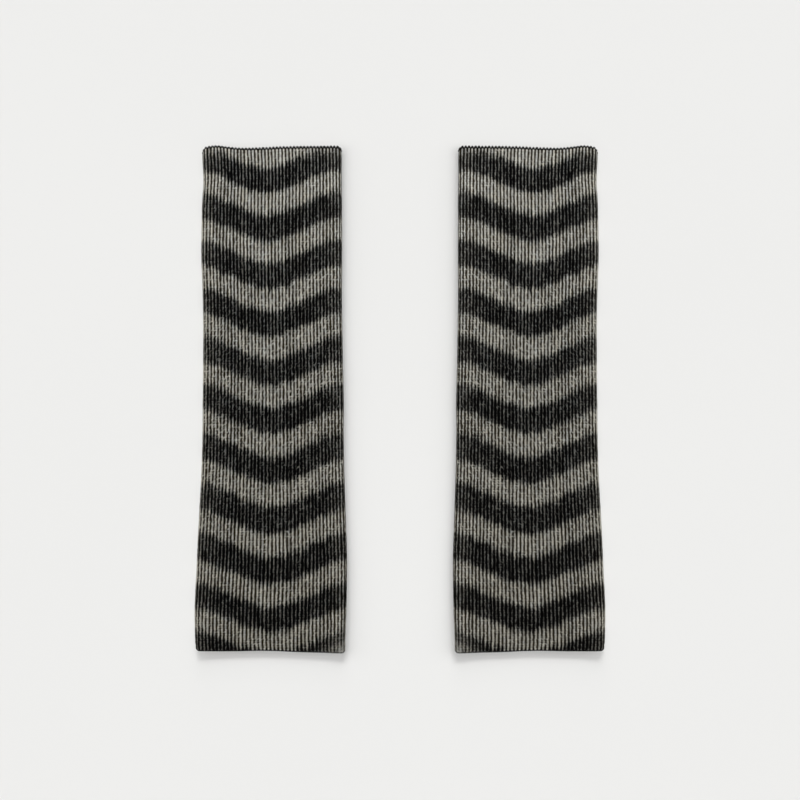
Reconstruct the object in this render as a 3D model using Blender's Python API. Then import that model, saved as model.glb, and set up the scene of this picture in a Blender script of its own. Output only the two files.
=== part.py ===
"""A pair of rib-knit leg warmers, laid flat side by side.

Metres, +Z up. The origin is on the surface that they lie on, midway between the two, and +Y runs from the hems to
the top edges. Each leg warmer is one knitted tube pressed flat: a ribbed wall that turns round a fold at each side
into a plain wall below, and a slot between the walls that is open at both ends. A chained edge finishes the top
mouth and a plain edge the hem. The two are mirror images.
"""

import math
from collections import namedtuple

import bmesh
import bpy

MM = 0.001

# Driving sizes, in millimetres
LENGTH = 420.0  # from the lowest corner of the hem to the highest place of the top edge
WALL = 2.5  # from a rib's crest to the inside
RIB_DEPTH = 1.0  # from a rib's crest to the furrow beside it
RIBS_OVER = 46  # ribs from the foot of one fold, over the top, to the foot of the other
SEAM_GAP = 0.3  # between the tube and each edge
TOP_EDGE_LENGTH = 1.5  # how far the chained edge stands past the tube
HEM_EDGE_LENGTH = 1.2
EDGE_INSET = 0.35  # the edges are this much slimmer than the tube, all round
EDGE_ROUNDING = 0.8  # and this much slimmer again at their free end
BEAD_DEPTH = 0.6  # from the crest of a stitch of the chained edge to the notch beside it
END_WAVE_REACH = 40.0  # how far from an end its unevenness fades out

# A rib's cross-section: how deep it is at shares of its pitch, as a share of RIB_DEPTH
RibPoint = namedtuple("RibPoint", "share depth")
RIB = (RibPoint(0.0, 1.0), RibPoint(0.3, 0.0), RibPoint(0.7, 0.0))
BEAD = (RibPoint(0.0, 1.0), RibPoint(0.5, 0.0))

# The flat tube, from hem to top: the distance from the hem, the distances of the outer and inner fold from the
# middle between the two leg warmers, the height at the folds, and how far the top sinks between them
Section = namedtuple("Section", "along outer inner height sag")
SECTIONS = (
    Section(0.0, 168.3, 45.5, 8.2, 2.6),
    Section(2.5, 168.9, 45.2, 8.3, 2.6),
    Section(6.0, 169.6, 45.0, 8.2, 2.4),
    Section(12.0, 169.9, 45.0, 7.9, 2.1),
    Section(36.0, 170.3, 44.1, 7.0, 1.2),
    Section(77.0, 168.2, 43.6, 6.5, 0.9),
    Section(102.0, 167.2, 44.4, 6.4, 0.8),
    Section(127.0, 165.7, 45.2, 6.4, 0.8),
    Section(152.0, 164.4, 46.0, 6.4, 0.8),
    Section(177.0, 163.6, 46.5, 6.4, 0.8),
    Section(209.0, 163.4, 46.4, 6.4, 0.8),
    Section(251.0, 163.0, 47.3, 6.4, 0.8),
    Section(292.0, 163.3, 47.9, 6.4, 0.8),
    Section(333.0, 164.7, 47.8, 6.4, 0.8),
    Section(375.0, 163.9, 47.9, 6.4, 0.8),
    Section(392.0, 162.7, 48.2, 6.3, 0.8),
    Section(408.0, 163.5, 48.1, 6.2, 0.7),
    Section(416.0, 163.8, 48.4, 6.1, 0.7),
    Section(420.0, 163.4, 48.9, 6.0, 0.6),
)

# How far each end falls short of its farthest place, from the outer fold (0) to the inner one (1)
EdgePoint = namedtuple("EdgePoint", "across short")
TOP_WAVE = (
    EdgePoint(0.0, 3.8),
    EdgePoint(0.012, 1.8),
    EdgePoint(0.026, 0.8),
    EdgePoint(0.05, 0.2),
    EdgePoint(0.1, 0.0),
    EdgePoint(0.27, 1.6),
    EdgePoint(0.42, 1.4),
    EdgePoint(0.6, 0.4),
    EdgePoint(0.93, 0.0),
    EdgePoint(0.975, 0.1),
    EdgePoint(0.988, 0.5),
    EdgePoint(1.0, 1.6),
)
HEM_WAVE = (
    EdgePoint(0.0, 2.8),
    EdgePoint(0.016, 2.0),
    EdgePoint(0.045, 1.8),
    EdgePoint(0.25, 1.7),
    EdgePoint(0.48, 2.2),
    EdgePoint(0.66, 1.1),
    EdgePoint(0.9, 0.3),
    EdgePoint(0.965, 0.0),
    EdgePoint(0.985, 0.2),
    EdgePoint(1.0, 1.0),
)

# Points of a ring: each piece of it has a fixed share of the way round, so that the outer and inner rings match
FOLD_SHARE = 0.1
UNDER_SHARE = 0.5
UNDER_POINTS = 6
SLOT_FOLD_POINTS = 2
SLOT_TOP_POINTS = 12

SIDES = {"left": -1, "right": 1}

Colour = namedtuple("Colour", "name rgb roughness")
KNIT = Colour("rib_knit", (0.13, 0.13, 0.12), 0.95)
CHAIN = Colour("chain_yarn", (0.02, 0.02, 0.02), 0.9)
HEM = Colour("hem_yarn", (0.03, 0.03, 0.03), 0.9)


def through(rows, place):
    """The row's values at a place, on a smooth curve through the rows. A row's first value is its place."""
    last = len(rows) - 2
    i = max(0, min(last, sum(row[0] <= place for row in rows) - 1))
    before, low, high, after = rows[max(i - 1, 0)], rows[i], rows[i + 1], rows[min(i + 2, last + 1)]
    span = high[0] - low[0]
    t = max(0.0, min(1.0, (place - low[0]) / span))
    values = []
    for a, b, c, d in zip(before[1:], low[1:], high[1:], after[1:]):
        leave = (c - a) * span / max(high[0] - before[0], span)
        arrive = (d - b) * span / max(after[0] - low[0], span)
        values.append(
            b * (1 + 2 * t) * (1 - t) ** 2 + leave * t * (1 - t) ** 2
            + c * t * t * (3 - 2 * t) + arrive * t * t * (t - 1)
        )
    return values


def over_length(width, height):
    """The way over the top of a flat ring, from the foot of one fold to the foot of the other."""
    return width - height + math.pi * height


def over_point(width, height, sag, run):
    """A point that far over the top of a flat ring, its outward direction, and its share of the way round."""
    radius = height / 2
    fold = math.pi * radius
    flat = width - height
    if run < fold:
        turn = run / radius
        out = (-math.sin(turn), -math.cos(turn))
        return (-flat / 2 + radius * out[0], radius + radius * out[1]), out, FOLD_SHARE * run / fold
    if run <= fold + flat:
        part = (run - fold) / flat
        sunk = sag * (1 - (2 * part - 1) ** 4)
        share = FOLD_SHARE + (UNDER_SHARE - 2 * FOLD_SHARE) * part
        return (-flat / 2 + flat * part, height - sunk), (0.0, 1.0), share
    turn = (run - fold - flat) / radius
    out = (math.sin(turn), math.cos(turn))
    share = UNDER_SHARE - FOLD_SHARE * (1 - turn / math.pi)
    return (flat / 2 + radius * out[0], radius + radius * out[1]), out, share


def under_points(width, height, count, low):
    """Points of the plain underside, on the way back from the second foot to the first."""
    flat = width - height
    return [
        (UNDER_SHARE + UNDER_SHARE * i / (count + 1), flat / 2 - flat * i / (count + 1), low)
        for i in range(1, count + 1)
    ]


def outer_ring(width, height, sag, inset, profile, depth):
    """The outside of the wall: ribs over the top and the folds, flat below. Each point is (share, across, up)."""
    over = over_length(width, height)
    pitch = over / RIBS_OVER
    runs = [(i + point.share, point.depth) for i in range(RIBS_OVER) for point in profile]
    ring = []
    for ribs, deep in runs + [(RIBS_OVER, 1.0)]:
        (across, up), out, share = over_point(width, height, sag, min(ribs * pitch, over))
        fade = min(1.0, 2 * up / height)
        inward = inset + depth * deep * fade
        ring.append((share, across - out[0] * inward, up - out[1] * inward))
    return ring + under_points(width, height, UNDER_POINTS, inset)


def slot_ring(width, height, sag):
    """The plain inside of the wall, around the flat slot."""
    width, height = width - 2 * WALL, height - 2 * WALL
    over, fold = over_length(width, height), math.pi * height / 2
    runs = [fold * i / SLOT_FOLD_POINTS for i in range(SLOT_FOLD_POINTS)]
    runs += [fold + (over - 2 * fold) * i / SLOT_TOP_POINTS for i in range(SLOT_TOP_POINTS + 1)]
    runs += [over - fold + fold * i / SLOT_FOLD_POINTS for i in range(1, SLOT_FOLD_POINTS + 1)]
    ring = []
    for run in runs:
        (across, up), _, share = over_point(width, height, sag, min(run, over))
        ring.append((share, across, WALL + up))
    return ring + under_points(width, height, UNDER_POINTS, WALL)


def place_ring(ring, along, outer, inner, side):
    """Puts a ring at its distance from the hem, with the unevenness of the nearer end, in metres."""
    width, middle = outer - inner, (outer + inner) / 2
    placed = []
    for share, across, up in ring:
        part = 0.5 + across / width
        hem = through(HEM_WAVE, part)[0] * max(0.0, 1 - along / END_WAVE_REACH)
        top = through(TOP_WAVE, part)[0] * max(0.0, 1 - (LENGTH - along) / END_WAVE_REACH)
        point = (side * (middle - across) * MM, (along + hem - top - LENGTH / 2) * MM, up * MM)
        placed.append((share, point))
    return placed


def add_ring(mesh, ring):
    return [(share, mesh.verts.new(point)) for share, point in ring]


def join_rings(mesh, first, second):
    """A band of faces between two rings with the same number of points."""
    count = len(first)
    for i in range(count):
        j = (i + 1) % count
        mesh.faces.new((first[i][1], first[j][1], second[j][1], second[i][1]))


def close_end(mesh, outer, inner):
    """Triangles from an outer ring to an inner one, each step to the point that comes next on the way round."""
    i = j = 0
    while i < len(outer) or j < len(inner):
        next_outer = outer[i + 1][0] if i + 1 < len(outer) else 1.0
        next_inner = inner[j + 1][0] if j + 1 < len(inner) else 1.0
        a, b = outer[i % len(outer)][1], inner[j % len(inner)][1]
        if j == len(inner) or (i < len(outer) and next_outer <= next_inner):
            i += 1
            mesh.faces.new((a, b, outer[i % len(outer)][1]))
        else:
            j += 1
            mesh.faces.new((a, b, inner[j % len(inner)][1]))


def cloth_ring_object(name, colour, side, stations, profile, depth):
    """A closed wall through rings. A station is a distance from the hem and how much slimmer the ring is there."""
    mesh = bmesh.new()
    outsides, insides = [], []
    for along, inset in stations:
        outer, inner, height, sag = through(SECTIONS, along)
        width = outer - inner
        outside = outer_ring(width, height, sag, inset, profile, depth)
        outsides.append(add_ring(mesh, place_ring(outside, along, outer, inner, side)))
        inside = slot_ring(width, height, sag)
        insides.append(add_ring(mesh, place_ring(inside, along, outer, inner, side)))
    for rings in (outsides, insides):
        for first, second in zip(rings, rings[1:]):
            join_rings(mesh, first, second)
    close_end(mesh, outsides[0], insides[0])
    close_end(mesh, outsides[-1], insides[-1])
    bmesh.ops.triangulate(mesh, faces=mesh.faces)
    bmesh.ops.recalc_face_normals(mesh, faces=mesh.faces)
    data = bpy.data.meshes.new(name)
    mesh.to_mesh(data)
    mesh.free()
    data.materials.append(material(colour))
    made = bpy.data.objects.new(name, data)
    bpy.context.scene.collection.objects.link(made)
    return made


def material(colour):
    found = bpy.data.materials.get(colour.name)
    if found:
        return found
    made = bpy.data.materials.new(colour.name)
    made.use_nodes = True
    shader = made.node_tree.nodes["Principled BSDF"]
    shader.inputs["Base Color"].default_value = (*colour.rgb, 1.0)
    shader.inputs["Roughness"].default_value = colour.roughness
    shader.inputs["Metallic"].default_value = 0.0
    return made


def tube(name, side):
    """The ribbed tube, between the hem edge and the chained edge."""
    start = HEM_EDGE_LENGTH + SEAM_GAP
    end = LENGTH - TOP_EDGE_LENGTH - SEAM_GAP
    between = [row.along for row in SECTIONS if start < row.along < end]
    stations = [(along, 0.0) for along in (start, *between, end)]
    return cloth_ring_object(f"{name}_tube", KNIT, side, stations, RIB, RIB_DEPTH)


def top_edge(name, side):
    """The chained edge around the top mouth, with one stitch for each rib."""
    start = LENGTH - TOP_EDGE_LENGTH
    middle = LENGTH - TOP_EDGE_LENGTH / 3
    stations = [(start, EDGE_INSET), (middle, EDGE_INSET), (LENGTH, EDGE_INSET + EDGE_ROUNDING)]
    return cloth_ring_object(f"{name}_top_edge", CHAIN, side, stations, BEAD, BEAD_DEPTH)


def hem_edge(name, side):
    """The plain edge around the hem, as wide as the furrows and crests that end on it."""
    start = HEM_EDGE_LENGTH
    middle = HEM_EDGE_LENGTH / 2
    stations = [(0.0, EDGE_INSET + EDGE_ROUNDING), (middle, EDGE_INSET), (start, EDGE_INSET)]
    return cloth_ring_object(f"{name}_hem_edge", HEM, side, stations, BEAD, 0.0)


def main():
    for thing in list(bpy.data.objects):
        bpy.data.objects.remove(thing, do_unlink=True)
    for name, side in SIDES.items():
        tube(name, side)
        top_edge(name, side)
        hem_edge(name, side)


main()
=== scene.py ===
"""The looks of a pair of rib-knit leg warmers, laid flat side by side on a pale floor.

Each leg warmer is one closed shell of knitted cloth, stitch by stitch over the folds and the top and with
low plain ribs below. A loop of dark yarn for each rib runs around the top mouth, and a twisted dark yarn
around the hem. The form is read from the CAD solids of the left leg warmer, and the right one is its
mirror image.

Lengths are in millimetres until a mesh is made, and the floor's size and the lights' places are in
metres. "Along" is the distance from the hem's end. "Rib" counts the ribs on the way round, from the foot
of the outer fold, over the top, to the foot of the inner fold, and back below.
"""

import math
from collections import namedtuple

import bpy
import numpy as np
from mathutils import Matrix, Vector
from mathutils.bvhtree import BVHTree


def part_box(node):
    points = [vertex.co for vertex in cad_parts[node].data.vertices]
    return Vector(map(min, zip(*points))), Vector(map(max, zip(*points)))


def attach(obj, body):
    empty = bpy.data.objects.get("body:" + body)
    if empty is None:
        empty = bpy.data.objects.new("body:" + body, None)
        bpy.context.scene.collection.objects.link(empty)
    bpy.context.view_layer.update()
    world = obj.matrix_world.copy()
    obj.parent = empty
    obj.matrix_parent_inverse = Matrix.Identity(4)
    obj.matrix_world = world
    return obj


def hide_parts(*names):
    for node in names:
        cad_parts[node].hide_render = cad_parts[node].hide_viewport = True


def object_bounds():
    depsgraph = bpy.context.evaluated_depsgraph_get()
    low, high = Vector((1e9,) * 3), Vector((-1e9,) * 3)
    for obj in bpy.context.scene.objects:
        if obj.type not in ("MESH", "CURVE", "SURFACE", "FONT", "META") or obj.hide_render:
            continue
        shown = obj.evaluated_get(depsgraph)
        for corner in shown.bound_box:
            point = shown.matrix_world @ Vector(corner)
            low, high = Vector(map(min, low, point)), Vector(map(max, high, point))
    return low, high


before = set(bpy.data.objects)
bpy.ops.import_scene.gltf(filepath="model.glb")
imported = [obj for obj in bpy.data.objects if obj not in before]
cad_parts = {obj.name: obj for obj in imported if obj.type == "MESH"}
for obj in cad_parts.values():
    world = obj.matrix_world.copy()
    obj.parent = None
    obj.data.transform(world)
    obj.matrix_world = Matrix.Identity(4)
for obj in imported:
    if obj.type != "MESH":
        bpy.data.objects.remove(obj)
cad_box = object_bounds()

# A millimetre in metres, and a metre in millimetres
MM = 0.001
METRE = 1000.0
LENGTH = (cad_box[1].y - cad_box[0].y) * METRE

# The knitting: the ribs over the folds and the top, the ribs below, about how far apart they lie, the
# stitches along each rib and the rows of points, the depth of the furrows above and below, the cloth's
# thickness, and where its stitches start and end
RIBS_OVER = 46
RIBS_UNDER = 40
RIBS = RIBS_OVER + RIBS_UNDER
RIB_PITCH = 2.8
COURSES = 198
ROWS = 2 * COURSES
RIB_DEPTH = 1.1
UNDER_DEPTH = 0.4
WALL = 2.2
TUBE_START = 1.3
TUBE_END = LENGTH - 2.05

# The points of a stitch across its rib, in its lower and upper half: the share of the rib, how deep the
# point lies as a share of the rib depth, how much of the furrows' painted shade it takes, and how early a
# dark band reaches it, from 0 to 1
StitchPoint = namedtuple("StitchPoint", "share depth furrow early")
LOWER_HALF = (
    StitchPoint(0.00, 1.00, 1.00, 1.0),
    StitchPoint(0.33, 0.14, 0.13, 0.5),
    StitchPoint(0.50, 0.06, 0.00, 0.0),
    StitchPoint(0.67, 0.14, 0.13, 0.5),
)
UPPER_HALF = (
    StitchPoint(0.00, 0.95, 0.52, 1.0),
    StitchPoint(0.30, 0.04, 0.05, 0.5),
    StitchPoint(0.50, 0.16, 0.00, 0.0),
    StitchPoint(0.70, 0.04, 0.05, 0.5),
)
POINTS = len(LOWER_HALF)

# How uneven the stitches are: each one to the side as a share of a rib, and each one in depth
STITCH_JITTER = 0.035
DEPTH_JITTER = 0.05
# Slow unevenness is a sum of waves. A wave of each kind takes this many ribs and millimetres, each divided
# by a random factor in WAVE_RANGE
WOBBLE_WAVES = (9, 60)
FINE_WAVES = (4, 22)
SWELL_WAVES = (30, 90)
WAVE_RANGE = (0.5, 1.3)
# How far the ribs wander to the side, as a share of a rib, what share of that the fine waves add, and how
# far the cloth swells
WOBBLE = 0.035
FINE_SHARE = 0.5
SWELL = 0.12
# At the foot of each fold the ribs are even, shallow and free of the swell. They come to be uneven, deep
# and swollen over this many ribs
UNEVEN_RIBS = 2.0
DEEPENING_RIBS = 1.5
SWELLING_RIBS = 6.0
# By how much the ribs lie wider apart than on average in the middle, and closer at the folds: at the top
# edge, at the hem, and the share of the length over which it changes from the one at the hem
SPREAD_TOP = 0.02
SPREAD_HEM = 0.07
SPREAD_REACH = 0.7

# The lips at both ends: how far past the tube's last stitch, and how deep in the wall
LipPoint = namedtuple("LipPoint", "past inward")
LIP = (LipPoint(0.45, 0.35), LipPoint(0.7, 1.1), LipPoint(0.45, 1.85))
# The plain inside: its rows, and how far in from the first and last stitches it starts
INSIDE_ROWS = 15
INSIDE_MARGIN = 0.3
# The solid tube's walls are whole from this far in from each end
SOLID_START = 2.6
# The waves of the top edge and the hem die away over this distance
END_WAVE_REACH = 40.0
# The top edge rises a little more beside the outer fold than the solids do: how far, and where and how
# wide as shares of the width
TOP_RISE = 0.8
TOP_RISE_PLACE = 0.12
TOP_RISE_REACH = 0.08

# The chevron bands: a dark band starts this far along the lowest ribs, and then every BAND_PERIOD below.
# It is BAND_DARK high, and lies higher by up to BAND_BOW midway along
BAND_START = 400.5
BAND_PERIOD = 40.35
BAND_DARK = 19.7
BAND_BOW = 2.9
# A chevron takes this many ribs. It rises by CHEVRON_RISE with each rib, apart from its rounded point,
# and rises less and less beyond CHEVRON_EASE_FROM ribs
CHEVRON_RIBS = 43.0
CHEVRON_RISE = 1.35
CHEVRON_FLAT = 3.5
CHEVRON_EASE = 0.12
CHEVRON_EASE_FROM = 15.0
# At some distances along, the rib on which the chevrons point down, and how much lower the bands lie there
LowestRib = namedtuple("LowestRib", "along rib lower")
LOWEST_RIBS = (
    LowestRib(0, 23.5, 0.0),
    LowestRib(30, 23.3, 0.1),
    LowestRib(70, 23.1, 1.4),
    LowestRib(110, 22.9, 0.7),
    LowestRib(150, 22.7, -0.1),
    LowestRib(190, 22.6, -0.7),
    LowestRib(240, 22.4, 0.0),
    LowestRib(320, 22.1, 0.1),
    LowestRib(410, 21.4, 0.4),
)
# The bands' edges: how far they fade, how far they stray slowly along each rib and over what distance,
# how far they stray from stitch to stitch, and how much further up and down a dark band reaches in the
# furrows
BAND_FADE = 6.5
BAND_JITTER = 0.9
BAND_JITTER_REACH = 18.0
BAND_STITCH_JITTER = 0.4
EARLY_ABOVE = 4.0
EARLY_BELOW = 2.5
# How uneven the furrows' painted shade is from point to point, at the bottom and on the sides as shares of
# that, and how much more midway along
FURROW_UNEVEN = 0.13
UNEVEN_BOTTOM = 1.5
UNEVEN_SIDES = 0.5
MORE_UNEVEN_MIDWAY = 1.2
# How far that painted shade drifts slowly along each rib, and over what distance
FURROW_DRIFT = 0.07
FURROW_DRIFT_REACH = 8.0
# The least painted furrow shade that the lips have
LIP_PAINTED_SHADE = 0.08
# How uneven the yarn's brightness is, from stitch to stitch, within a stitch and from rib to rib
STITCH_TONE = 0.16
FINE_TONE = 0.3
RIB_TONE = 0.09
# How uneven the yarn's warmth is, from stitch to stitch and from rib to rib, and how much warmer it grows
# toward the hem
STITCH_WARMTH = 0.2
RIB_WARMTH = 0.1
HEM_WARMTH = 0.35
# Painted light and shade on the ribs on and beside the folds: how much brighter their yarn is, how much
# paler where it is dark, and how much shallower their furrows look with less painted shade, or deeper below
# 0
FoldPaintedLight = namedtuple("FoldPaintedLight", "rib brighter paler shallower")
FOLD_PAINTED_LIGHT = (
    FoldPaintedLight(2.0, 0.22, 0.12, 0.75),
    FoldPaintedLight(3.0, 0.12, 0.12, 0.0),
    FoldPaintedLight(4.5, 0.08, 0.08, -0.25),
    FoldPaintedLight(10.0, 0.0, 0.0, -0.25),
    FoldPaintedLight(16.0, 0.0, 0.0, 0.0),
    FoldPaintedLight(34.0, 0.0, 0.0, 0.0),
    FoldPaintedLight(38.5, 0.0, 0.03, -0.4),
    FoldPaintedLight(40.5, 0.0, 0.1, -0.5),
    FoldPaintedLight(42.0, 0.18, 0.14, -0.7),
)
# The dark yarn is paler just below the top edge: how much, and how far down
TOP_PALER = 0.7
TOP_REACH = 5.6
# The bottom of a furrow takes this share less of that paling, and of the folds' painted light, than a
# crest does
FURROW_SPARED = 0.5
# From this rib on, the ribs at the foot of the inner fold have at least so much of the furrows' painted
# shade: painted shade of the fold
SHADED_RIB = 44.0
INNER_FOLD_PAINTED_SHADE = 0.22
# Light is painted on the hem's inner corner: the dark yarn is paler and the furrows look shallower, with
# less painted shade. The corner's rib, how much paler, how much less of that the bottom of a furrow takes,
# how much shallower, and how far from the corner
CORNER_RIB = 43.5
CORNER_PAINTED_LIGHT = 0.7
CORNER_FURROW_SPARED = 0.15
CORNER_SHALLOWER = 0.96
CORNER_REACH = 14.0
# The furrows are dark from the hem up to this far along, and fade over the last part of that
HEM_DARK = 4.0
HEM_DARK_FADE = 3.0

# The places of the cloth's outside and inside on the bake's image
OUTSIDE_U = (0.005, 0.705)
INSIDE_U = (0.725, 0.995)
CLOTH_V = (0.02, 0.98)

# The photograph's frame: 800 pixels show this width of the floor, from this height above it
VIEW_WIDTH = 662.7
CAMERA_HEIGHT = 3000.0
SENSOR_WIDTH = 36.0

rng = np.random.default_rng(11)
# The shape of random numbers with one for each stitch of each rib over the folds and the top
BY_STITCH = (RIBS_OVER + 1, COURSES)


def smooth(values):
    """0 below 0, 1 above 1, and a soft step between."""
    t = np.clip(values, 0.0, 1.0)
    return t * t * (3 - 2 * t)


def from_table(places, table):
    """The columns of a table after its first one, read at places along that first column."""
    first, *others = zip(*table)
    return [np.interp(places, first, column) for column in others]


# The form, read from the left leg warmer's solids

# At each row: how far from the middle of the pair the outer and the inner fold lie, how high the cloth is
# beside the outer fold, and how much lower it is in the middle. At the shares of the width: how far the
# hem and the top edge end short of the full length
Form = namedtuple("Form", "outer inner height sag hem_short top_short")
# The shares of the width, close together at the rounded corners
CORNER_SHARES = (0.004, 0.01, 0.018)
SHARES = np.concatenate((CORNER_SHARES, np.linspace(0.03, 0.97, 33), 1 - np.array(CORNER_SHARES)[::-1]))
# The rays that find the solids' surface: the heights of the level ones, how far out those start, and how
# high up the falling ones start
RAY_LEVELS = np.arange(1.0, 6.0, 0.25)
RAYS_FROM = 300.0
RAYS_ABOVE = 50.0
# How many places along the length are measured, how far from each end its width is taken, and how far from
# each end the height is last taken
PLACES_ALONG = 141
WIDTH_MARGIN = 6.0
HEIGHT_MARGIN = 5.0
# The shares of the width at which the height beside the outer fold and in the middle is found
SIDE_SHARES = np.linspace(0.05, 0.13, 9)
MIDDLE_SHARES = np.linspace(0.46, 0.54, 9)


def search_tree(names):
    """One search tree over some of the solids."""
    points, faces = [], []
    for name in names:
        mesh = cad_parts[name].data
        start = len(points)
        points += [vertex.co.copy() for vertex in mesh.vertices]
        faces += [[start + i for i in face.vertices] for face in mesh.polygons]
    return BVHTree.FromPolygons(points, faces)


def farthest(tree, starts, direction):
    """How far out the solids reach against a direction, over rays from several starting points."""
    way = Vector(direction)
    reach = []
    for start in starts:
        place = tree.ray_cast(Vector(start) * MM, way)[0]
        if place:
            reach.append(-place.dot(way) * METRE)
    return max(reach) if reach else None


def filled(values):
    """The list as an array, with each missing value taken from its nearest neighbours."""
    known = [i for i, value in enumerate(values) if value is not None]
    return np.interp(range(len(values)), known, [values[i] for i in known])


def evened(values, reach=12, kept=4):
    """The curve with its kinks rounded off, apart from a few values kept at both ends."""
    window = np.hanning(2 * reach + 1)
    padded = np.pad(values, reach, mode="edge")
    even = np.convolve(padded, window / window.sum(), mode="valid")
    place = np.arange(len(values))
    share = smooth((np.minimum(place, place[::-1]) - kept) / reach)
    return values + share * (even - values)


def measured_form():
    """The left leg warmer's form, found with rays on its solids."""
    tube = search_tree(["left_tube"])
    whole = search_tree(["left_tube", "left_top_edge", "left_hem_edge"])
    low, high = (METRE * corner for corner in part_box("left_tube"))
    middle = (low.x + high.x) / 2

    def fold(direction, place):
        starts = [(middle - RAYS_FROM * direction, place - LENGTH / 2, z) for z in RAY_LEVELS]
        return farthest(tube, starts, (direction, 0, 0))

    ends = []
    for direction, place in ((1.0, WIDTH_MARGIN), (-1.0, LENGTH - WIDTH_MARGIN)):
        left, right = -fold(1.0, place), fold(-1.0, place)
        reach = []
        for share in SHARES:
            x = left + share * (right - left)
            starts = [(x, -RAYS_FROM * direction, z) for z in RAY_LEVELS]
            reach.append(farthest(whole, starts, (0, direction, 0)))
        ends.append(LENGTH / 2 - filled(reach))
    hem_short, top_short = ends
    top_short -= TOP_RISE * np.exp(-(((SHARES - TOP_RISE_PLACE) / TOP_RISE_REACH) ** 2))

    along = np.linspace(0.0, LENGTH, PLACES_ALONG)
    solid = np.clip(along, SOLID_START, LENGTH - SOLID_START)
    sides = []
    for direction, end in ((1.0, 0), (-1.0, -1)):
        shift = hem_short[end] * np.clip(1 - solid / END_WAVE_REACH, 0, None)
        shift -= top_short[end] * np.clip(1 - (LENGTH - solid) / END_WAVE_REACH, 0, None)
        sides.append(filled([fold(direction, place) for place in solid + shift]))
    outer, inner = sides[0], -sides[1]

    tops = []
    for shares in (SIDE_SHARES, MIDDLE_SHARES):
        reach = []
        for place, left, right in zip(along, -outer, -inner):
            y = np.clip(place, HEIGHT_MARGIN, LENGTH - HEIGHT_MARGIN) - LENGTH / 2
            starts = [(left + share * (right - left), y, RAYS_ABOVE) for share in shares]
            reach.append(farthest(tube, starts, (0, 0, -1)))
        tops.append(filled(reach))
    height, middle_height = tops

    rows = np.linspace(0.0, LENGTH, ROWS + 1)
    measured = (outer, inner, height, height - middle_height)
    curves = [evened(np.interp(rows, along, curve)) for curve in measured]
    return Form(*curves, hem_short, top_short)


form = measured_form()


def at_row(curve, row):
    return np.interp(row, np.arange(ROWS + 1), curve)


def cloth_point(rib, along, inward):
    """Where points of the left leg warmer's cloth lie, as x, y and z along the last axis."""
    rib, along, inward = np.broadcast_arrays(rib, along, inward)
    row = along / LENGTH * ROWS
    outer, inner = at_row(form.outer, row), at_row(form.inner, row)
    height, sag = at_row(form.height, row), at_row(form.sag, row)
    width, radius = outer - inner, height / 2
    flat, fold = width - height, math.pi * radius
    over_run = flat + 2 * fold

    spread = SPREAD_HEM + (SPREAD_TOP - SPREAD_HEM) * smooth(along / (LENGTH * SPREAD_REACH))
    share = np.clip(rib / RIBS_OVER, 0.0, 1.0)
    run = over_run * (share - spread * np.sin(2 * math.pi * share) / (2 * math.pi))
    first = np.clip(run / radius, 0.0, math.pi)
    part = np.clip((run - fold) / flat, 0.0, 1.0)
    second = np.clip((run - fold - flat) / radius, 0.0, math.pi)
    sunk = sag * (1 - (2 * part - 1) ** 4)
    on_first, on_second = run < fold, run > fold + flat
    reach = radius - inward
    across = np.where(on_first, -flat / 2 - reach * np.sin(first), -flat / 2 + flat * part)
    across = np.where(on_second, flat / 2 + reach * np.sin(second), across)
    up = np.where(on_first, radius - reach * np.cos(first), height - sunk - inward)
    up = np.where(on_second, radius + reach * np.cos(second), up)

    below = rib > RIBS_OVER
    back = (rib - RIBS_OVER) / RIBS_UNDER
    across = np.where(below, flat / 2 - flat * back, across)
    up = np.where(below, inward, up)

    place = 0.5 + across / width
    near_hem = np.clip(1 - along / END_WAVE_REACH, 0.0, None)
    near_top = np.clip(1 - (LENGTH - along) / END_WAVE_REACH, 0.0, None)
    hem = np.interp(place, SHARES, form.hem_short) * near_hem
    top = np.interp(place, SHARES, form.top_short) * near_top
    x = across - (outer + inner) / 2
    return np.stack((x, along + hem - top - LENGTH / 2, up), axis=-1)


def ripple(rib, along, rib_span, along_span, waves=7):
    """A smooth unevenness over the cloth, about 1 high: a sum of slanting waves."""
    total = 0.0
    for _ in range(waves):
        sideways = rng.uniform(*WAVE_RANGE) * rng.choice((-1, 1)) * 2 * math.pi / rib_span
        lengthways = rng.uniform(*WAVE_RANGE) * 2 * math.pi / along_span
        total = total + np.sin(sideways * rib + lengthways * along + rng.uniform(0, 2 * math.pi))
    return total / math.sqrt(waves)


# The bands

def band_darkness(rib, along, jitter, above=0.0, under=0.0):
    """1 in a dark band and 0 in a light one. The bands reach above further up, and under further down."""
    half_turn = CHEVRON_RIBS / 2
    lowest, lower = from_table(along, LOWEST_RIBS)
    away = np.abs((rib - lowest + half_turn) % CHEVRON_RIBS - half_turn)
    rise = CHEVRON_RISE * (np.sqrt(away**2 + CHEVRON_FLAT**2) - CHEVRON_FLAT)
    rise -= CHEVRON_EASE * np.clip(away - CHEVRON_EASE_FROM, 0.0, None) ** 2
    bowed = along + lower - BAND_BOW * np.sin(math.pi * along / LENGTH) + jitter
    below = (BAND_START + rise - bowed) % BAND_PERIOD
    middle = (below - BAND_DARK / 2 + BAND_PERIOD / 2) % BAND_PERIOD - BAND_PERIOD / 2
    half = BAND_DARK / 2 + np.where(middle < 0, above, under)
    return smooth(0.5 + (half - np.abs(middle)) / BAND_FADE)


# The cloth's mesh

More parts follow.
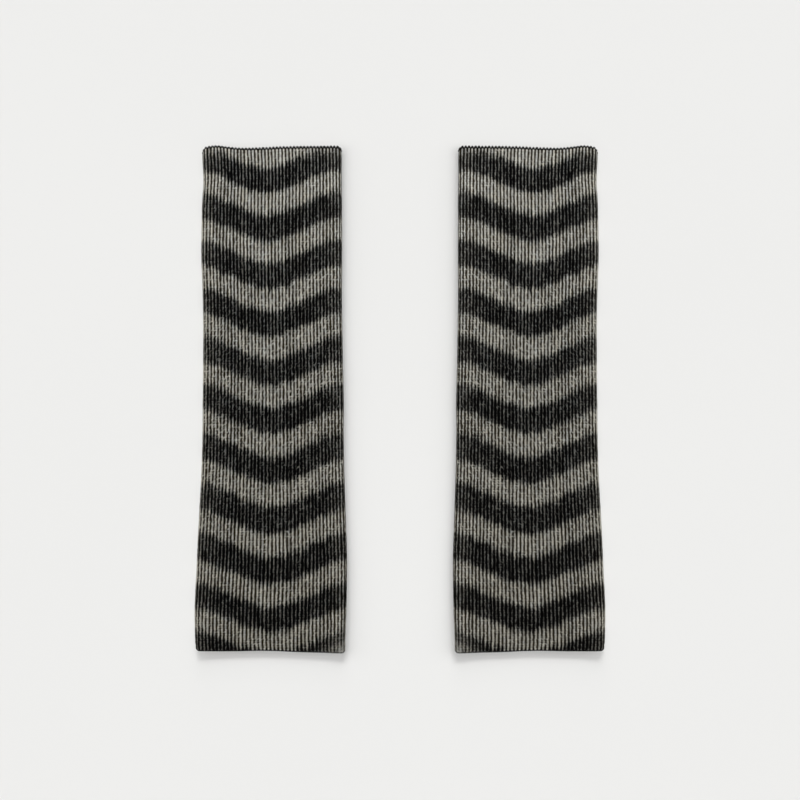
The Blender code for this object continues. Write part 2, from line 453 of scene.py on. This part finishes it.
class Faces:
    """Faces of one mesh, with a place on the bake's image for each corner."""

    def __init__(self):
        self.corners = []
        self.places = []

    def add_grid(self, index, u, v):
        """Quads between neighbouring columns and rows of points."""
        u, v = np.broadcast_to(u, index.shape), np.broadcast_to(v, index.shape)
        steps = (
            (slice(None, -1), slice(None, -1)),
            (slice(1, None), slice(None, -1)),
            (slice(1, None), slice(1, None)),
            (slice(None, -1), slice(1, None)),
        )
        self.corners += np.stack([index[step] for step in steps], axis=-1).reshape(-1, 4).tolist()
        places = np.stack([np.stack((u[step], v[step]), axis=-1) for step in steps], axis=-2)
        self.places.append(places.reshape(-1, 2))

    def add_half_grid(self, dense, sparse, dense_u, sparse_u, dense_v, flip):
        """Faces between a column with two rows to a stitch and a column with one."""
        for k in range(len(sparse) - 1):
            corners = [dense[2 * k + 2], dense[2 * k + 1], dense[2 * k], sparse[k], sparse[k + 1]]
            rows = [2 * k + 2, 2 * k + 1, 2 * k, 2 * k, 2 * k + 2]
            places = [(dense_u if i < 3 else sparse_u, dense_v[row]) for i, row in enumerate(rows)]
            if flip:
                corners.reverse()
                places.reverse()
            self.corners.append(corners)
            self.places.append(np.array(places))


def image_u(rib):
    return OUTSIDE_U[0] + (OUTSIDE_U[1] - OUTSIDE_U[0]) * rib / RIBS


def image_v(along):
    return CLOTH_V[0] + (CLOTH_V[1] - CLOTH_V[0]) * along / LENGTH


def make_mesh(name, points, faces, places=None):
    mesh = bpy.data.meshes.new(name)
    mesh.from_pydata((points * MM).tolist(), [], faces)
    if places is not None:
        layer = mesh.uv_layers.new(name="OFBake")
        layer.data.foreach_set("uv", places.astype(np.float32).ravel())
    mesh.shade_smooth()
    mesh.update()
    return mesh


def knitted_mesh():
    """The left leg warmer's cloth: ribbed outside, lips at both ends, and a plain inside."""
    columns = np.arange(RIBS_OVER * POINTS + 1)
    column_rib, column_point = columns // POINTS, columns % POINTS
    rows = np.arange(ROWS + 1)
    course = np.minimum(rows // 2, COURSES - 1)
    halves = np.array([LOWER_HALF, UPPER_HALF])
    stitches = halves[rows % 2][:, column_point].transpose(1, 0, 2)
    share, depth, painted_shade, early = np.moveaxis(stitches, -1, 0)

    along = TUBE_START + (TUBE_END - TUBE_START) * rows / ROWS
    stitch = (column_rib[:, None], course[None])
    stitch_shift = rng.normal(0, STITCH_JITTER, BY_STITCH)[stitch]
    stitch_depth = rng.normal(0, DEPTH_JITTER, BY_STITCH)[stitch]
    from_foot = np.minimum(columns, columns[::-1])[:, None] / POINTS
    wander = ripple(column_rib[:, None], along[None], *WOBBLE_WAVES)
    fine_wander = ripple(column_rib[:, None], along[None], *FINE_WAVES)
    wobble = WOBBLE * (wander + FINE_SHARE * fine_wander)
    rib = column_rib[:, None] + share + smooth(from_foot / UNEVEN_RIBS) * (stitch_shift + wobble)
    inward = RIB_DEPTH * depth + np.where(column_point[:, None] > 0, stitch_depth, 0.0)
    inward = np.clip(inward, 0.0, None) * smooth(from_foot / DEEPENING_RIBS)
    swell = SWELL * ripple(column_rib[:, None] + share, along[None], *SWELL_WAVES)
    dense_points = cloth_point(rib, along[None], inward)
    dense_points[..., 2] += swell * smooth(from_foot / SWELLING_RIBS)

    under_ribs = RIBS_OVER + 0.5 * np.arange(1, 2 * RIBS_UNDER)
    under_along = along[::2]
    under_depth = np.where(np.arange(1, 2 * RIBS_UNDER) % 2 == 0, UNDER_DEPTH, 0.0)
    sparse_points = cloth_point(under_ribs[:, None], under_along[None], under_depth[:, None])

    dense = np.arange(dense_points[..., 0].size).reshape(dense_points.shape[:2])
    sparse = dense.size + np.arange(sparse_points[..., 0].size).reshape(sparse_points.shape[:2])
    points = [dense_points.reshape(-1, 3), sparse_points.reshape(-1, 3)]
    total = dense.size + sparse.size

    faces = Faces()
    v = image_v(along)
    faces.add_grid(dense, image_u(rib), v[None])
    faces.add_grid(sparse, image_u(under_ribs)[:, None], v[::2][None])
    faces.add_half_grid(dense[-1], sparse[0], image_u(RIBS_OVER), image_u(under_ribs[0]), v, False)
    faces.add_half_grid(dense[0], sparse[-1], image_u(RIBS), image_u(under_ribs[-1]), v, True)

    ring_rib = np.concatenate((column_rib + share[:, 0], under_ribs))
    rings = [np.concatenate((dense[:, -1], sparse[:, -1]))]
    ring_along = [TUBE_END]
    stations = [(TUBE_END + point.past, point.inward) for point in LIP]
    inside = np.linspace(TUBE_END - INSIDE_MARGIN, TUBE_START + INSIDE_MARGIN, INSIDE_ROWS)
    stations += [(place, WALL) for place in inside]
    stations += [(TUBE_START - point.past, point.inward) for point in reversed(LIP)]
    for place, depth_in in stations:
        points.append(cloth_point(ring_rib, place, depth_in))
        rings.append(total + np.arange(len(ring_rib)))
        ring_along.append(place)
        total += len(ring_rib)
    rings.append(np.concatenate((dense[:, 0], sparse[:, 0])))
    ring_along.append(TUBE_START)
    rings = np.array(rings).T
    rings = np.concatenate((rings, rings[:1]))
    ring_u = np.append(ring_rib, RIBS)
    lip = len(LIP)
    ring_v = image_v(np.array(ring_along))
    inside_u = INSIDE_U[0] + (INSIDE_U[1] - INSIDE_U[0]) * ring_u / RIBS
    faces.add_grid(rings[:, : lip + 1], image_u(ring_u)[:, None], ring_v[None, : lip + 1])
    faces.add_grid(rings[:, lip : -lip - 1], inside_u[:, None], ring_v[None, lip : -lip - 1])
    faces.add_grid(rings[:, -lip - 2 :], image_u(ring_u)[:, None], ring_v[None, -lip - 2 :])

    mesh = make_mesh("left_knit", np.concatenate(points), faces.corners, np.concatenate(faces.places))
    yarn = np.zeros((len(mesh.vertices), 4))
    yarn[:, 2:] = 0.5
    yarn[dense] = stitch_yarn(column_rib, painted_shade, early, along, course)
    yarn[sparse, 0] = band_darkness(under_ribs[:, None], under_along[None], 0.0)
    # The low ribs below have painted shade in their furrows
    yarn[sparse, 1] = under_depth[:, None] / UNDER_DEPTH
    yarn[rings[:-1, 1:-1], 0] = band_darkness(ring_rib[:, None], np.array(ring_along)[None, 1:-1], 0.0)
    top_lip = (rings[:-1, :1], rings[:-1, 1 : lip + 1])
    hem_lip = (rings[:-1, -1:], rings[:-1, -lip - 1 : -1])
    # The lips take their last row's yarn, all dark yarn, and at least some painted furrow shade
    for last_row, lips in (top_lip, hem_lip):
        yarn[lips] = yarn[last_row]
        yarn[lips, 0] = 1.0
        yarn[lips, 1] = np.maximum(yarn[lips, 1], LIP_PAINTED_SHADE)
    layer = mesh.attributes.new("yarn", "FLOAT_COLOR", "POINT")
    layer.data.foreach_set("color", yarn.astype(np.float32).ravel())
    return mesh


def drifting(along, amount, reach):
    """A slow random curve along each rib."""
    knots = np.arange(0.0, LENGTH + reach, reach)
    curves = [np.interp(along, knots, rng.normal(0, amount, len(knots))) for _ in range(RIBS_OVER + 1)]
    return np.array(curves)


def stitch_yarn(column_rib, painted_shade, early, along, course):
    """Each point's yarn: how dark, how much painted furrow shade, how bright and how warm."""
    jitter = drifting(along, BAND_JITTER, BAND_JITTER_REACH)
    jitter = jitter + rng.normal(0, BAND_STITCH_JITTER, BY_STITCH)[:, course]
    above, under = EARLY_ABOVE * early, EARLY_BELOW * early
    dark = band_darkness(column_rib[:, None] + 0.5, along[None], jitter[column_rib], above, under)
    dark = np.maximum(dark, early * smooth((HEM_DARK - along[None]) / HEM_DARK_FADE))

    strength = np.where(early == 1, UNEVEN_BOTTOM, UNEVEN_SIDES) * (early > 0)
    strength = strength * (1 + MORE_UNEVEN_MIDWAY * np.sin(math.pi * along[None] / LENGTH) ** 2)
    painted_shade = painted_shade + rng.normal(0, FURROW_UNEVEN, painted_shade.shape) * strength
    painted_shade = painted_shade + drifting(along, FURROW_DRIFT, FURROW_DRIFT_REACH)[column_rib] * (early > 0)
    # Painted shade of the inner fold on the ribs at its foot
    painted_shade = np.maximum(painted_shade, INNER_FOLD_PAINTED_SHADE * (column_rib[:, None] >= SHADED_RIB))

    tone = rng.normal(0, STITCH_TONE, BY_STITCH)[:, course] + rng.normal(0, RIB_TONE, (RIBS_OVER + 1, 1))
    tone = tone[column_rib] + rng.normal(0, FINE_TONE, painted_shade.shape)
    brighter, paler, shallower = from_table(column_rib, FOLD_PAINTED_LIGHT)
    # The folds' painted light is added to the random tone
    tone += brighter[:, None]
    warmth = rng.normal(0, STITCH_WARMTH, BY_STITCH) + rng.normal(0, RIB_WARMTH, (RIBS_OVER + 1, 1))
    warmth = warmth[column_rib][:, course] + HEM_WARMTH * (1 - along[None] / LENGTH)

    # Painted light on the hem's inner corner
    from_corner = np.hypot((column_rib[:, None] - CORNER_RIB) * RIB_PITCH, along[None])
    corner = np.exp(-((from_corner / CORNER_REACH) ** 2))
    top = np.exp(-(((TUBE_END - along[None]) / TOP_REACH) ** 2))
    taken = 1 - FURROW_SPARED * early
    dark = dark * (1 - CORNER_PAINTED_LIGHT * corner * (1 - CORNER_FURROW_SPARED * early))
    dark = dark * (1 - TOP_PALER * top * taken)
    # The folds' painted light pales the dark yarn
    dark = dark * (1 - paler[:, None] * taken)
    # Less painted furrow shade at the hem's inner corner and on the folds, more where a fold's number is
    # below 0
    painted_shade = painted_shade * (1 - CORNER_SHALLOWER * corner) * (1 - shallower[:, None] * (1 - corner))
    return np.clip(np.stack((dark, painted_shade, 0.5 + tone, 0.5 + warmth), axis=-1), 0.0, 1.0)


# The yarns around both mouths

# A yarn is a tube with this many sides
YARN_SIDES = 6
# The direction onward along an edge is taken between places this far to both sides, in ribs
ONWARD_STEP = 0.05


def sweep(path, toward, radius):
    """Points and faces of a closed tube around a closed path. toward is a direction across the path."""
    tangent = np.roll(path, -1, axis=0) - np.roll(path, 1, axis=0)
    tangent /= np.linalg.norm(tangent, axis=1, keepdims=True)
    beside = np.cross(tangent, toward)
    beside /= np.linalg.norm(beside, axis=1, keepdims=True)
    out = np.cross(beside, tangent)
    angle = 2 * math.pi * np.arange(YARN_SIDES) / YARN_SIDES
    ring = np.cos(angle)[None, :, None] * out[:, None] + np.sin(angle)[None, :, None] * beside[:, None]
    points = (path[:, None] + radius * ring).reshape(-1, 3)
    index = np.arange(len(points)).reshape(-1, YARN_SIDES)
    index = np.pad(index, ((0, 1), (0, 1)), mode="wrap")
    corners = np.stack((index[:-1, :-1], index[:-1, 1:], index[1:, 1:], index[1:, :-1]), axis=-1)
    return points, corners.reshape(-1, 4)


def edge_frame(rib, along, inward):
    """Places on the way round an edge, with the directions outward and onward there."""
    rib = rib % RIBS
    place = cloth_point(rib, along, inward)
    out = cloth_point(rib, along, 0.0) - cloth_point(rib, along, 1.0)
    ahead = cloth_point((rib + ONWARD_STEP) % RIBS, along, inward)
    behind = cloth_point((rib - ONWARD_STEP) % RIBS, along, inward)
    onward = ahead - behind
    onward /= np.linalg.norm(onward, axis=-1, keepdims=True)
    return place, out, onward


def joined(parts):
    """Several tubes of yarn as one, pressed flat where they rest on the surface."""
    points, faces, start = [], [], 0
    for some_points, some_faces in parts:
        some_points[:, 2] = np.maximum(some_points[:, 2], 0.0)
        points.append(some_points)
        faces += (some_faces + start).tolist()
        start += len(some_points)
    return np.concatenate(points), faces


def paint_light_near(mesh, x, y, reach):
    """Marks where light is painted on a mesh, near a place."""
    points = METRE * np.array([vertex.co for vertex in mesh.vertices])
    away = np.hypot(points[:, 0] - x, points[:, 1] - y)
    layer = mesh.attributes.new("painted_light", "FLOAT", "POINT")
    layer.data.foreach_set("value", np.exp(-((away / reach) ** 2)).astype(np.float32))
    return mesh


# The top edge's loops: the steps round each, where they lie along and how deep in the wall, how uneven
# they are, and how far their ends tilt. The chain has painted light, paler yarn, this far from its outer
# corner
CHAIN_STEPS = 12
CHAIN_PLACE = LENGTH - 0.8
CHAIN_DEPTH = 0.5
LOOP_UNEVEN = 0.07
LOOP_TILT = 0.2
CHAIN_PAINTED_LIGHT_REACH = 9.0
# The thin strand through the loops: its radius, where it lies along, and how deep
STRAND_YARN = 0.32
STRAND_PLACE = CHAIN_PLACE - 0.25
STRAND_DEPTH = 0.8
# The loops on the way round: half their length along the edge and half their width, to the middle of the
# yarn, the yarn's radius, and how far out they stand. They are small on the outer fold, where they stand
# out a little, and small and set back below
Loop = namedtuple("Loop", "rib length width yarn outward")
LOOPS = (
    Loop(0.0, 0.5, 0.5, 0.38, -0.2),
    Loop(2.0, 0.58, 0.4, 0.4, 0.2),
    Loop(4.5, 0.6, 0.42, 0.42, 0.15),
    Loop(7.0, 0.6, 0.45, 0.43, 0.0),
    Loop(12.0, 0.56, 0.7, 0.53, 0.0),
    Loop(18.0, 0.54, 0.95, 0.6, 0.0),
    Loop(44.5, 0.54, 0.95, 0.6, 0.0),
    Loop(46.0, 0.5, 0.55, 0.38, -0.4),
)


def chain_mesh():
    """The bound-off edge: a small loop of yarn on each rib, and a thin strand that runs through them."""
    turn = 2 * math.pi * np.arange(CHAIN_STEPS) / CHAIN_STEPS
    up_edge = np.array((0.0, 1.0, 0.0))
    parts = []
    for i in range(RIBS):
        loop = from_table(i, LOOPS)
        length, width, yarn, outward = (value * rng.normal(1.0, LOOP_UNEVEN) for value in loop)
        place, out, onward = edge_frame(np.array(i + 0.5), CHAIN_PLACE + outward, CHAIN_DEPTH)
        across = (out + up_edge) / math.sqrt(2)
        lifted = (up_edge - out) / math.sqrt(2)
        path = place + onward * (length * np.cos(turn))[:, None] + across * (width * np.sin(turn))[:, None]
        path = path - LOOP_TILT * lifted * np.cos(turn)[:, None]
        toward = np.broadcast_to(lifted, path.shape)
        parts.append(sweep(path, toward, yarn))
    place, out, _ = edge_frame(np.arange(2 * RIBS) / 2, STRAND_PLACE, STRAND_DEPTH)
    parts.append(sweep(place, out, STRAND_YARN))
    mesh = make_mesh("left_chain", *joined(parts))
    # Painted light near the chain's outer corner
    return paint_light_near(mesh, -form.outer[-1], LENGTH / 2, CHAIN_PAINTED_LIGHT_REACH)


# The hem's twisted strands: their radius, how far each runs from their middle, the steps to a rib, and
# where they lie along and how deep. They have painted light, paler yarn, this far from the hem's inner
# corner
HEM_YARN = 0.42
HEM_TWIST = 0.3
HEM_STEPS = 8
HEM_PLACE = 1.1
HEM_DEPTH = 0.8
HEM_PAINTED_LIGHT_REACH = 24.0


def hem_mesh():
    """The hem's edge: two strands twisted round each other, one turn to a rib."""
    strands = []
    rib = np.arange(RIBS * HEM_STEPS) / HEM_STEPS
    place, out, _ = edge_frame(rib, HEM_PLACE, HEM_DEPTH)
    up_edge = np.array((0.0, -1.0, 0.0))
    for start in (0.0, math.pi):
        turn = (2 * math.pi * rib + start)[:, None]
        path = place + HEM_TWIST * (out * np.cos(turn) + up_edge * np.sin(turn))
        strands.append(sweep(path, out, HEM_YARN))
    mesh = make_mesh("left_hem_yarn", *joined(strands))
    # Painted light near the hem's inner corner
    return paint_light_near(mesh, -form.inner[0], -LENGTH / 2, HEM_PAINTED_LIGHT_REACH)


# Materials

def add_node(tree, kind, inputs=(), **settings):
    """A shader node, with each input given as a value or as the socket that feeds it."""
    node = tree.nodes.new(kind)
    for name, setting in settings.items():
        setattr(node, name, setting)
    for key, value in dict(inputs).items():
        if isinstance(value, bpy.types.NodeSocket):
            tree.links.new(value, node.inputs[key])
        else:
            node.inputs[key].default_value = value
    return node


def calculate(tree, operation, *values):
    return add_node(tree, "ShaderNodeMath", enumerate(values), operation=operation).outputs[0]


def mix_colours(tree, factor, first, second, blend="MIX"):
    inputs = {0: factor, 6: first, 7: second}
    return add_node(tree, "ShaderNodeMix", inputs, data_type="RGBA", blend_type=blend).outputs[2]


def soft_step(tree, value, low, high):
    """0 below low, 1 above high, and a soft step between."""
    inputs = {"Value": value, "From Min": low, "From Max": high}
    return add_node(tree, "ShaderNodeMapRange", inputs, interpolation_type="SMOOTHSTEP").outputs[0]


def shaded(colour, share):
    return tuple(share * part for part in colour[:3]) + (1.0,)


# How strong and how high the relief of the stitches, of the fibres on them and of the dark yarns looks
Relief = namedtuple("Relief", "strength height")
STITCH_RELIEF = Relief(0.6, 0.35)
FIBRE_RELIEF = Relief(0.5, 0.12)
YARN_RELIEF = Relief(0.6, 0.15)


def add_relief(tree, shape, relief, under=None):
    """A relief with a shape, on top of the one under it if that is given."""
    inputs = {"Height": shape, "Strength": relief.strength, "Distance": relief.height * MM}
    if under is not None:
        inputs["Normal"] = under
    return add_node(tree, "ShaderNodeBump", inputs).outputs[0]


def new_material(name):
    material = bpy.data.materials.new(name)
    material.use_nodes = True
    tree = material.node_tree
    shader = tree.nodes["Principled BSDF"]
    shader.inputs["Roughness"].default_value = 0.95
    shader.inputs["Specular IOR Level"].default_value = 0.04
    return material, tree, shader


# The yarns, the painted shade of their furrows, and the dark yarns' painted light at the corners
LIGHT_YARN = (0.296, 0.291, 0.271, 1.0)
LIGHT_YARN_PAINTED_SHADE = (0.0185, 0.0155, 0.0105, 1.0)
DARK_YARN = (0.06, 0.06, 0.058, 1.0)
DARK_YARN_PAINTED_SHADE = (0.0003, 0.0003, 0.0003, 1.0)
PAINTED_LIGHT_YARN = (0.075, 0.075, 0.07, 1.0)
COOL_TINT = (0.97, 1.0, 1.02, 1.0)
WARM_TINT = (1.03, 1.0, 0.92, 1.0)
# The yarn has its furrow's full painted shade from this much of the painted furrow shade on, light yarn
# and dark yarn
LIGHT_FURROW_FROM = 0.42
DARK_FURROW_FROM = 0.14
# How far the yarn's brightness strays, in light and in dark yarn, and how far it differs from fibre to fibre
TONE_IN_LIGHT = 0.68
TONE_IN_DARK = 1.9
TONE_IN_FIBRES = 0.5
# The legs of a stitch: how far from the middle of the rib they start, how far they move out on the way
# up, their half width, all as shares of a rib, and how high they are at the stitch's ends
LEG_START = 0.11
LEG_SLANT = 0.13
LEG_WIDTH = 0.17
LEG_END_HEIGHT = 0.6
# The fibres: how many cross a rib, how far they slant, and how many follow each other along a stitch
FIBRES_ACROSS = 14.0
FIBRES_SLANT = 5.0
FIBRES_ALONG = 2.2


def knit_material():
    """Light and dark wool by the yarn attribute, painted shade in the furrows, stitch legs and fibres as
    relief.
    """
    material, tree, shader = new_material("rib_knit_wool")
    yarn = add_node(tree, "ShaderNodeAttribute", attribute_name="yarn")
    parts = add_node(tree, "ShaderNodeSeparateColor", {0: yarn.outputs["Color"]}).outputs
    dark, painted_shade, tone = parts[0], parts[1], parts[2]
    warmth = yarn.outputs["Alpha"]

    image = add_node(tree, "ShaderNodeUVMap", uv_map="OFBake")
    place = add_node(tree, "ShaderNodeSeparateXYZ", {0: image.outputs[0]}).outputs
    ribs_wide = RIBS / (OUTSIDE_U[1] - OUTSIDE_U[0])
    tube_share = (TUBE_END - TUBE_START) / LENGTH
    courses_high = COURSES / ((CLOTH_V[1] - CLOTH_V[0]) * tube_share)
    rib = calculate(tree, "MULTIPLY", calculate(tree, "SUBTRACT", place[0], OUTSIDE_U[0]), ribs_wide)
    first_v = CLOTH_V[0] + (CLOTH_V[1] - CLOTH_V[0]) * TUBE_START / LENGTH
    course = calculate(tree, "MULTIPLY", calculate(tree, "SUBTRACT", place[1], first_v), courses_high)
    in_rib = calculate(tree, "ABSOLUTE", calculate(tree, "SUBTRACT", calculate(tree, "FRACT", rib), 0.5))
    in_course = calculate(tree, "FRACT", course)

    leg_place = calculate(tree, "MULTIPLY_ADD", in_course, LEG_SLANT, LEG_START)
    off_leg = calculate(tree, "DIVIDE", calculate(tree, "SUBTRACT", in_rib, leg_place), LEG_WIDTH)
    leg = calculate(tree, "SUBTRACT", 1.0, calculate(tree, "MULTIPLY", off_leg, off_leg))
    leg = calculate(tree, "MAXIMUM", leg, 0.0)
    crossing = calculate(tree, "SINE", calculate(tree, "MULTIPLY", in_course, math.pi))
    leg_height = calculate(tree, "MULTIPLY_ADD", crossing, 1 - LEG_END_HEIGHT, LEG_END_HEIGHT)
    stitch = calculate(tree, "MULTIPLY", leg, leg_height)

    across = calculate(tree, "MULTIPLY", rib, FIBRES_ACROSS)
    lengthways = calculate(tree, "MULTIPLY", course, FIBRES_ALONG)
    slanting = calculate(tree, "MULTIPLY_ADD", in_rib, FIBRES_SLANT, lengthways)
    fibre_place = add_node(tree, "ShaderNodeCombineXYZ", {0: across, 1: slanting}).outputs[0]
    fibres = add_node(
        tree, "ShaderNodeTexNoise", {"Vector": fibre_place, "Scale": 1.0, "Detail": 3.0, "Roughness": 0.6}
    ).outputs[0]

    # Painted shade darkens the yarn in the furrows
    light = mix_colours(tree, soft_step(tree, painted_shade, 0.0, LIGHT_FURROW_FROM), LIGHT_YARN, LIGHT_YARN_PAINTED_SHADE)
    deep = mix_colours(tree, soft_step(tree, painted_shade, 0.0, DARK_FURROW_FROM), DARK_YARN, DARK_YARN_PAINTED_SHADE)
    colour = mix_colours(tree, dark, light, deep)
    reach = calculate(tree, "MULTIPLY_ADD", dark, TONE_IN_DARK - TONE_IN_LIGHT, TONE_IN_LIGHT)
    brightness = calculate(tree, "MULTIPLY_ADD", calculate(tree, "SUBTRACT", tone, 0.5), reach, 1.0)
    fibre_tone = calculate(tree, "MULTIPLY_ADD", fibres, TONE_IN_FIBRES, 1 - TONE_IN_FIBRES / 2)
    brightness = calculate(tree, "MULTIPLY", brightness, fibre_tone)
    grey_parts = {part: brightness for part in range(3)}
    grey = add_node(tree, "ShaderNodeCombineColor", grey_parts).outputs[0]
    colour = mix_colours(tree, 1.0, colour, grey, "MULTIPLY")
    tint = mix_colours(tree, warmth, COOL_TINT, WARM_TINT)
    colour = mix_colours(tree, 1.0, colour, tint, "MULTIPLY")
    tree.links.new(colour, shader.inputs["Base Color"])

    coarse = add_relief(tree, stitch, STITCH_RELIEF)
    tree.links.new(add_relief(tree, fibres, FIBRE_RELIEF, coarse), shader.inputs["Normal"])
    return material


# The wool of the two edges, and how much lighter its flecks are
CHAIN_WOOL = (0.009, 0.009, 0.008, 1.0)
HEM_WOOL = (0.004, 0.004, 0.004, 1.0)
FLECKS_LIGHTER = 2.5


def dark_yarn_material(name, colour):
    """Dark wool with lighter flecks in it, paler where light is painted on it."""
    material, tree, shader = new_material(name)
    painted_light = add_node(tree, "ShaderNodeAttribute", attribute_name="painted_light").outputs["Fac"]
    place = add_node(tree, "ShaderNodeTexCoord").outputs["Object"]
    fibres = add_node(
        tree, "ShaderNodeTexNoise", {"Vector": place, "Scale": 2600.0, "Detail": 4.0, "Roughness": 0.65}
    ).outputs[0]
    wool = mix_colours(tree, fibres, colour, shaded(colour, FLECKS_LIGHTER))
    # Painted light: the yarn turns paler near the corners
    tree.links.new(mix_colours(tree, painted_light, wool, PAINTED_LIGHT_YARN), shader.inputs["Base Color"])
    tree.links.new(add_relief(tree, fibres, YARN_RELIEF), shader.inputs["Normal"])
    return material


FLOOR_DARKER = (0.772, 0.77, 0.758, 1.0)
FLOOR_LIGHTER = (0.79, 0.788, 0.776, 1.0)


def floor_material():
    """A pale matt surface, with a faint unevenness."""
    material, tree, shader = new_material("pale_floor")
    place = add_node(tree, "ShaderNodeTexCoord").outputs["Object"]
    cloud = add_node(tree, "ShaderNodeTexNoise", {"Vector": place, "Scale": 3.0, "Detail": 2.0}).outputs[0]
    colour = mix_colours(tree, cloud, FLOOR_DARKER, FLOOR_LIGHTER)
    tree.links.new(colour, shader.inputs["Base Color"])
    return material


# The pieces

def add_piece(name, mesh, material, node):
    mesh.materials.clear()
    mesh.materials.append(material)
    piece = bpy.data.objects.new(name, mesh)
    bpy.context.scene.collection.objects.link(piece)
    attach(piece, "root")
    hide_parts(node)
    return piece


def mirrored(mesh, name):
    """A copy of a mesh, mirrored across X = 0."""
    copy = mesh.copy()
    copy.name = name
    places = np.empty(3 * len(copy.vertices), np.float32)
    copy.vertices.foreach_get("co", places)
    places[0::3] *= -1
    copy.vertices.foreach_set("co", places)
    copy.flip_normals()
    copy.update()
    return copy


def turned_outward(mesh):
    """Turns a closed mesh's faces outward, where they face inward."""
    mesh.calc_loop_triangles()
    places = np.array([vertex.co for vertex in mesh.vertices])
    corners = np.array([triangle.vertices for triangle in mesh.loop_triangles])
    a, b, c = places[corners[:, 0]], places[corners[:, 1]], places[corners[:, 2]]
    if np.einsum("ij,ij->i", a, np.cross(b, c)).sum() < 0:
        mesh.flip_normals()
        mesh.update()
    return mesh


PieceKind = namedtuple("PieceKind", "name mesh material slot node")
kinds = (
    PieceKind("knit", turned_outward(knitted_mesh()), knit_material(), "rib_knit", "tube"),
    PieceKind(
        "chain",
        turned_outward(chain_mesh()),
        dark_yarn_material("chain_wool", CHAIN_WOOL),
        "chain_yarn",
        "top_edge",
    ),
    PieceKind(
        "hem_yarn",
        turned_outward(hem_mesh()),
        dark_yarn_material("hem_wool", HEM_WOOL),
        "hem_yarn",
        "hem_edge",
    ),
)
legs = {}
for side in ("left", "right"):
    made = []
    for kind in kinds:
        name = f"{side}_{kind.name}"
        mesh = kind.mesh if side == "left" else mirrored(kind.mesh, name)
        made.append(add_piece(name, mesh, kind.material, f"{side}_{kind.node}"))
    legs[side] = made


# The floor, the lights and the camera

# How far the floor reaches to each side, in metres, and how far it lies below the cloth, in millimetres
FLOOR_REACH = 3.0
FLOOR_DROP = 0.3
# How strongly the pale surroundings shine
SKY_STRENGTH = 0.177


def add_floor():
    mesh = bpy.data.meshes.new("floor")
    signs = ((-1, -1), (1, -1), (1, 1), (-1, 1))
    corners = [(x * FLOOR_REACH, y * FLOOR_REACH, -FLOOR_DROP * MM) for x, y in signs]
    mesh.from_pydata(corners, [], [(0, 1, 2, 3)])
    mesh.materials.append(floor_material())
    floor = bpy.data.objects.new("floor", mesh)
    bpy.context.scene.collection.objects.link(floor)
    return floor


def collection_of(name, things):
    collection = bpy.data.collections.new(name)
    for thing in things:
        collection.objects.link(thing)
    return collection


def add_light(name, kind, place, power, lit=(), blocking=(), **shape):
    """A soft light that points at the middle of the pair.

    Where lit is given, it lights only those things, and only the things in blocking cast its shadows.
    """
    data = bpy.data.lights.new(name, kind)
    data.energy = power
    for setting, value in shape.items():
        setattr(data, setting, value)
    light = bpy.data.objects.new(name, data)
    light.location = place
    light.rotation_euler = (-Vector(place)).to_track_quat("-Z", "Y").to_euler()
    bpy.context.scene.collection.objects.link(light)
    if lit:
        light.light_linking.receiver_collection = collection_of(f"{name}_lit", lit)
        light.light_linking.blocker_collection = collection_of(f"{name}_blocking", blocking)


floor = add_floor()
both = legs["left"] + legs["right"]
add_light("top_light", "SUN", (0.0, 5.1, 4.4), 0.5, angle=math.radians(14))
add_light("low_light", "SUN", (0.0, 2.4, 1.0), 0.95, angle=math.radians(38))
for side, sign in (("left", -1), ("right", 1)):
    own = legs[side] + [floor]
    beside = (sign * 3.4, 0.5, 2.2)
    beyond = (sign * 2.2, 5.1, 4.4)
    add_light(f"{side}_light", "SUN", beside, 1.27, own, legs[side], angle=math.radians(50))
    add_light(f"{side}_top_light", "SUN", beyond, 0.68, own, legs[side], angle=math.radians(16))
add_light("cloth_light", "AREA", (0.0, 0.75, 0.45), 8.0, both, both, size=0.4)

world = bpy.data.worlds.new("soft_room")
world.use_nodes = True
world.node_tree.nodes["Background"].inputs["Color"].default_value = (1.0, 1.0, 1.0, 1.0)
world.node_tree.nodes["Background"].inputs["Strength"].default_value = SKY_STRENGTH
bpy.context.scene.world = world
bpy.context.scene.view_settings.view_transform = "Standard"

camera_data = bpy.data.cameras.new("camera")
camera_data.sensor_width = SENSOR_WIDTH
camera_data.lens = SENSOR_WIDTH * CAMERA_HEIGHT / VIEW_WIDTH
camera = bpy.data.objects.new("camera", camera_data)
camera.location = (0.0, 0.0, CAMERA_HEIGHT * MM)
bpy.context.scene.collection.objects.link(camera)
bpy.context.scene.camera = camera
